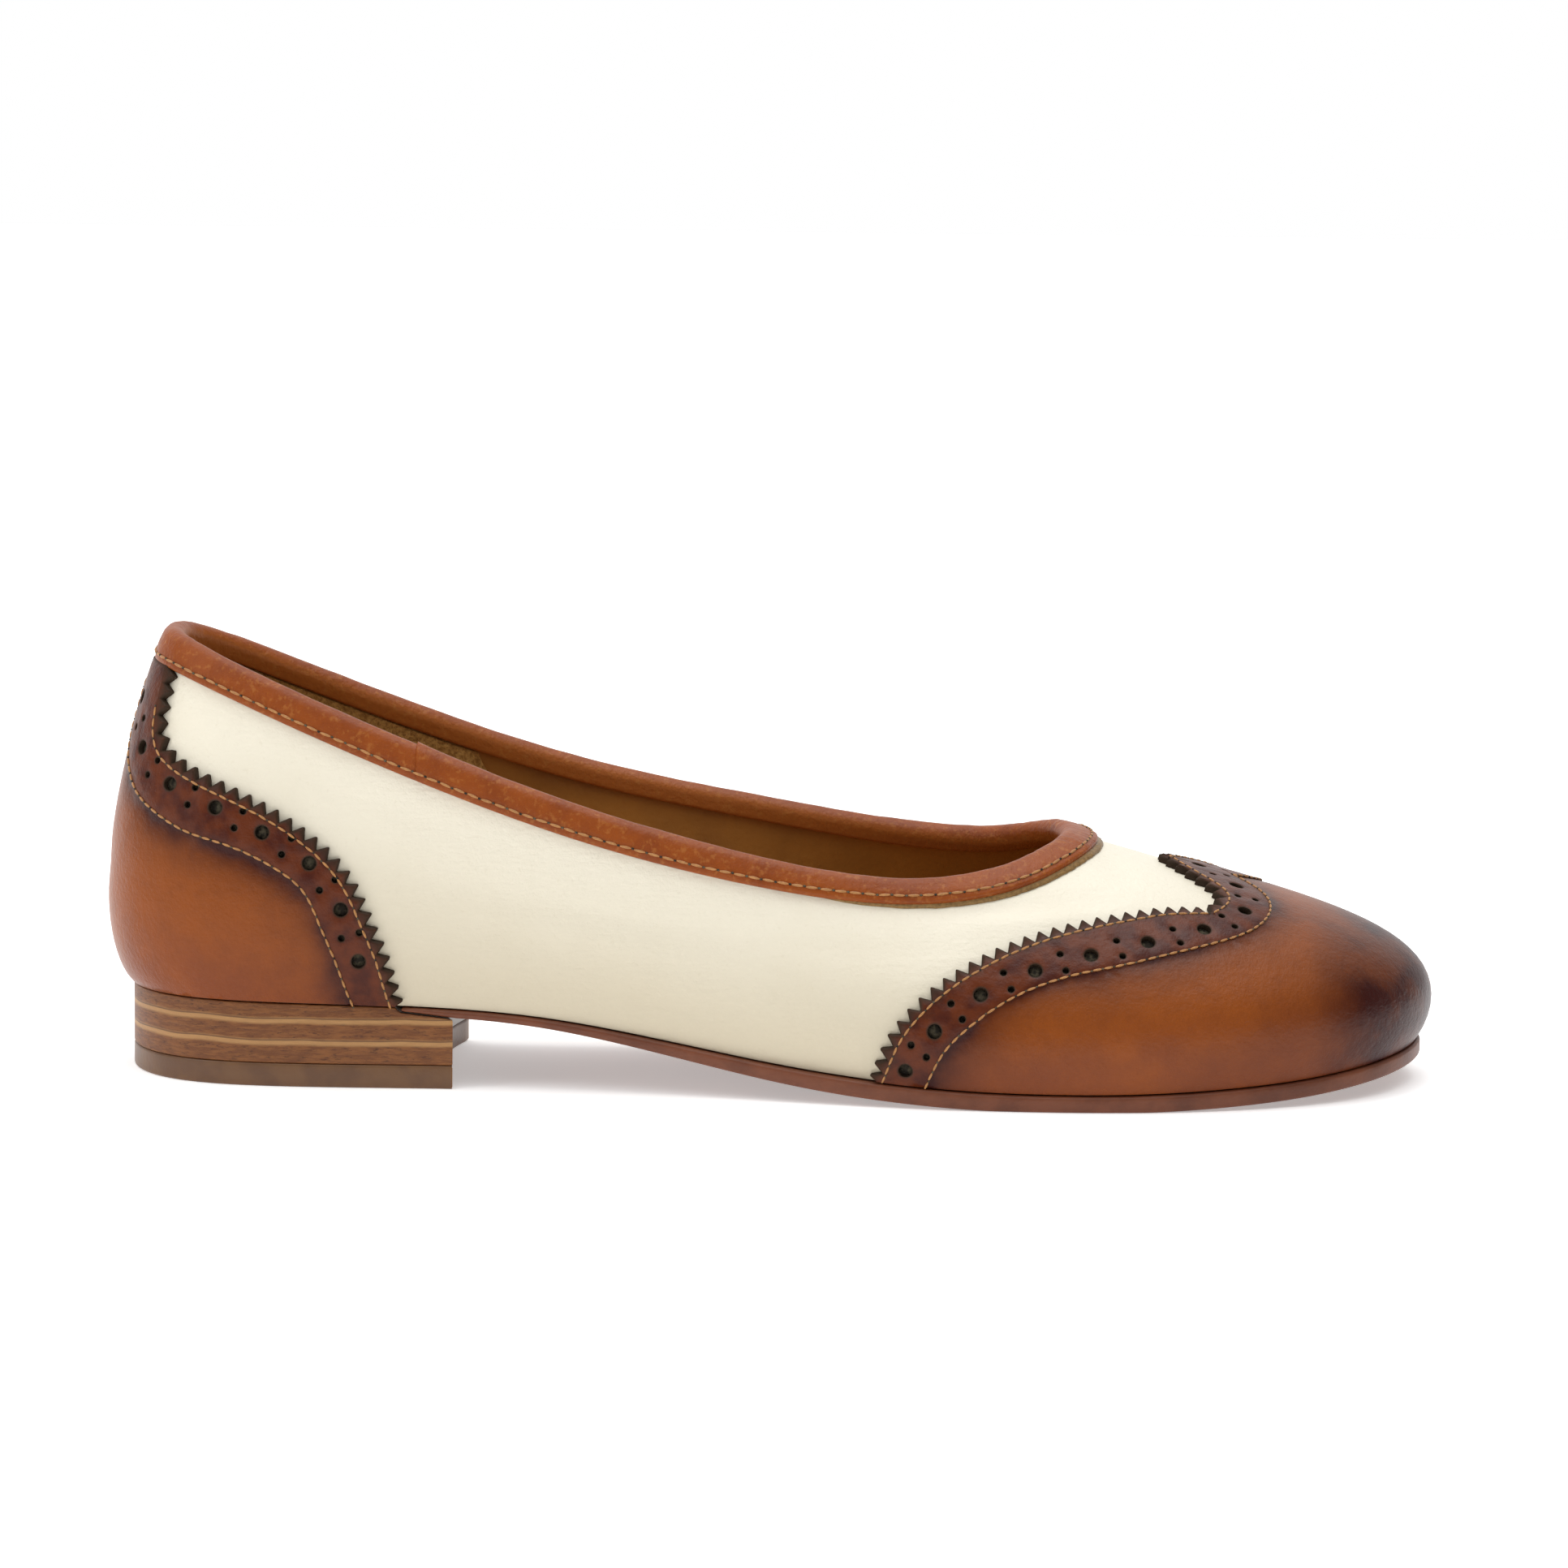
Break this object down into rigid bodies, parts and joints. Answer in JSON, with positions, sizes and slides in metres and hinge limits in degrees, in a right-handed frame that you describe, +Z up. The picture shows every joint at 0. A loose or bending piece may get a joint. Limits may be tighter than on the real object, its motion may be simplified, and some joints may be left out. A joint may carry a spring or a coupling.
{
  "type": "ballet flat",
  "caption": "Women's low-heeled leather ballet flat with a pinked wing-tip toe cap, punched heel counter, rolled topline binding and stacked heel; open collar.",
  "frame": {"origin": "middle of the part's footprint, on the plane it stands on", "axes": "+X to the toe, +Z up, -Y to the outer side of the right foot"},
  "size_m": [0.2516, 0.0854, 0.0834],
  "materials": {
    "cream_leather": "smooth cream calf, low sheen",
    "tan_leather": "polished tan calf, burnished darker at toe and edges",
    "binding_leather": "soft tan leather, rolled",
    "sock_leather": "ochre lining leather",
    "sole_leather": "dyed and burnished edge",
    "stacked_leather": "stacked leather edge with light lines",
    "grey_plastic": "moulded, matt",
    "heel_rubber": "brown, slightly satin"
  },
  "bodies": {
    "root": {"upper": "cream_leather", "toe_cap": "tan_leather", "heel_counter": "tan_leather", "topline_binding": "binding_leather", "insole": "sock_leather", "outsole": "sole_leather", "heel_wrap": "stacked_leather", "heel_block": "grey_plastic", "top_piece": "heel_rubber"}
  },
  "joints": []
}
